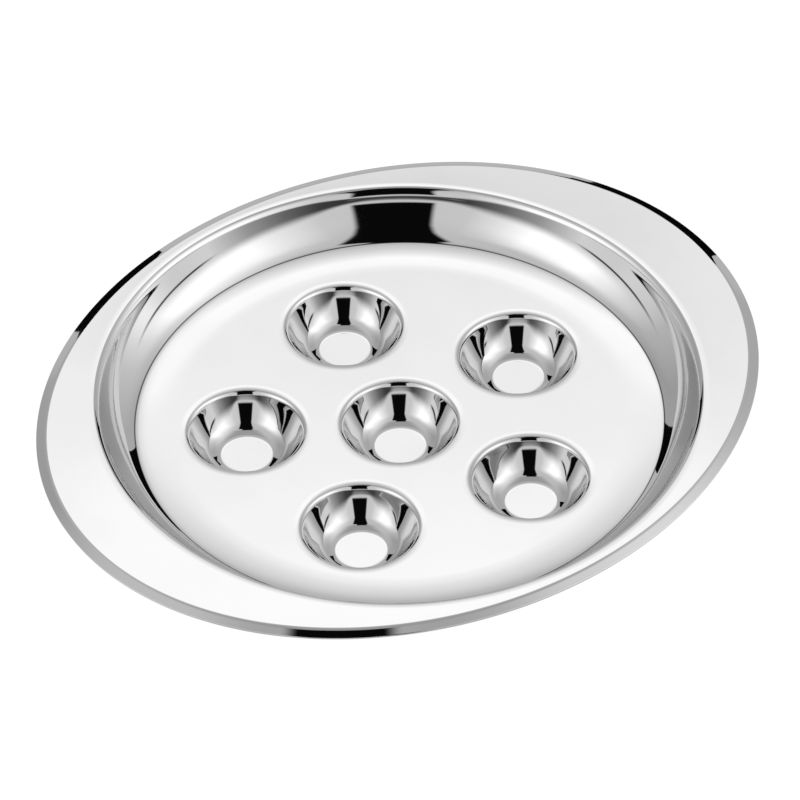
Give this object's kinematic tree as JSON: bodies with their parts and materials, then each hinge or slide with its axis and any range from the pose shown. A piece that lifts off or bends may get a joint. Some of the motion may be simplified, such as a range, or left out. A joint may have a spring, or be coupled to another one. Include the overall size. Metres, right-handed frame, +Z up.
{
  "type": "escargot plate",
  "caption": "Oval escargot plate pressed from polished stainless steel, with wide grip ends, a turned down lip, a round well and deep round dimples that hold the shells.",
  "frame": {"origin": "under the middle of the plate, on the surface it stands on: centre of the bounding box at its bottom, which is the underside of the middle dimple", "axes": "+Z up out of the well, +X along the oval rim's long axis through the middle between its grip ends, +Y across it"},
  "size_m": [0.2068, 0.1776, 0.0216],
  "materials": {
    "plate": "mirror polished stainless steel"
  },
  "bodies": {
    "root": {"plate": "plate"}
  },
  "joints": []
}
